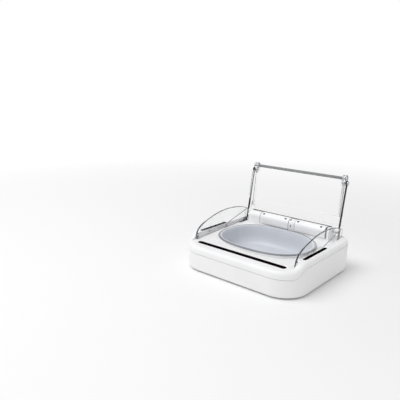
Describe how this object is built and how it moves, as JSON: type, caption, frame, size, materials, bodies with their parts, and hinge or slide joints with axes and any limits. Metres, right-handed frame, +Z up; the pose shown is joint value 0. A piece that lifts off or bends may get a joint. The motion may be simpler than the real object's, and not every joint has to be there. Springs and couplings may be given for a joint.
{
  "type": "sealed pet food bowl",
  "caption": "White pet food bowl housing with a grey oval bowl, clear side guards and a motor-driven clear lid that folds open.",
  "frame": {"origin": "middle of the footprint on the floor, under the rubber feet", "axes": "+X to the right seen from the front, +Y to the rear, +Z up"},
  "size_m": [0.231, 0.205, 0.1655],
  "materials": {
    "housing_white": "satin",
    "cover_white": "gloss",
    "clear_plastic": "clear",
    "window_black": "gloss",
    "bowl_grey": "satin",
    "seal_grey": "matt",
    "steel": "satin",
    "dark_steel": "satin",
    "acetal": "satin",
    "cell_jacket": "gloss",
    "board_green": "gloss",
    "foot_rubber": "matt",
    "button_grey": "satin"
  },
  "bodies": {
    "housing": {"battery_cells": "cell_jacket", "battery_contacts": "steel", "battery_springs": "steel", "bowl_seal": "seal_grey", "button_board": "board_green", "control_board": "board_green", "gear_motor": "steel", "gear_motor_clamp": "acetal", "guard_screws": "steel", "hinge_cover_left": "cover_white", "hinge_cover_right": "cover_white", "hinge_cover_screws": "steel", "hinge_housing": "cover_white", "housing_screws": "steel", "link_pivots": "steel", "lower_housing": "housing_white", "rubber_feet": "foot_rubber", "sensor_boards": "board_green", "sensor_diodes": "window_black", "sensor_window_front": "window_black", "sensor_window_left": "window_black", "sensor_window_right": "window_black", "shaft_bushes": "acetal", "side_guard_left": "clear_plastic", "side_guard_right": "clear_plastic", "upper_housing": "housing_white"},
    "lid_rear": {"lid_rear_panel": "clear_plastic", "lid_shaft": "steel", "lid_gear": "acetal", "fold_seal": "seal_grey", "fold_pins": "steel"},
    "lid_front": {"lid_front_panel": "clear_plastic", "link_pins": "steel"},
    "link_left": {"lid_link_left": "dark_steel"},
    "link_right": {"lid_link_right": "dark_steel"},
    "drive_wheel": {"drive_gear": "acetal", "motor_output_shaft": "steel"},
    "feeding_bowl": {"bowl": "bowl_grey"},
    "door_left": {"battery_door_left": "housing_white"},
    "door_right": {"battery_door_right": "housing_white"},
    "button_open": {"open_button": "button_grey"},
    "button_training": {"training_button": "button_grey"}
  },
  "joints": [
    {"name": "lid_hinge", "type": "hinge", "parent": "housing", "child": "lid_rear", "pos_m": [0, 0.0796, 0.066], "axis": [1, 0, 0], "range_deg": [0, 88.3]},
    {"name": "fold_hinge", "type": "hinge", "parent": "lid_rear", "child": "lid_front", "pos_m": [0, 0.0964, 0.1595], "axis": [1, 0, 0], "range_deg": [-139.4, 0]},
    {"name": "link_left_pivot", "type": "hinge", "parent": "housing", "child": "link_left", "pos_m": [-0.0965, 0.0753, 0.05346], "axis": [1, 0, 0], "range_deg": [0, 85.8]},
    {"name": "link_right_pivot", "type": "hinge", "parent": "housing", "child": "link_right", "pos_m": [0.0965, 0.0753, 0.05346], "axis": [1, 0, 0], "range_deg": [0, 85.8]},
    {"name": "drive_spin", "type": "hinge", "parent": "housing", "child": "drive_wheel", "pos_m": [-0.075, 0.0767, 0.05803], "axis": [1, 0, 0], "range_deg": [-117.8, 0]},
    {"name": "bowl_lift", "type": "slide", "parent": "housing", "child": "feeding_bowl", "axis": [0, 0, -1], "range_m": [-0.06, 0]},
    {"name": "door_left_hinge", "type": "hinge", "parent": "housing", "child": "door_left", "pos_m": [-0.052, 0.0921, 0.0032], "axis": [1, 0, 0], "range_deg": [0, 90]},
    {"name": "door_right_hinge", "type": "hinge", "parent": "housing", "child": "door_right", "pos_m": [0.052, 0.0921, 0.0032], "axis": [1, 0, 0], "range_deg": [0, 90]},
    {"name": "open_press", "type": "slide", "parent": "housing", "child": "button_open", "axis": [0, -1, 0], "range_m": [0, 0.0012], "stiffness_N_per_m": 600, "springref_m": -0.0008},
    {"name": "training_press", "type": "slide", "parent": "housing", "child": "button_training", "axis": [0, -1, 0], "range_m": [0, 0.0012], "stiffness_N_per_m": 600, "springref_m": -0.0008}
  ],
  "couplings": [
    {"joint": "fold_hinge", "follows": "lid_hinge", "ratio": -1.5773},
    {"joint": "link_left_pivot", "follows": "lid_hinge", "ratio": 0.97},
    {"joint": "link_right_pivot", "follows": "lid_hinge", "ratio": 0.97},
    {"joint": "drive_spin", "follows": "lid_hinge", "ratio": -1.3333}
  ]
}
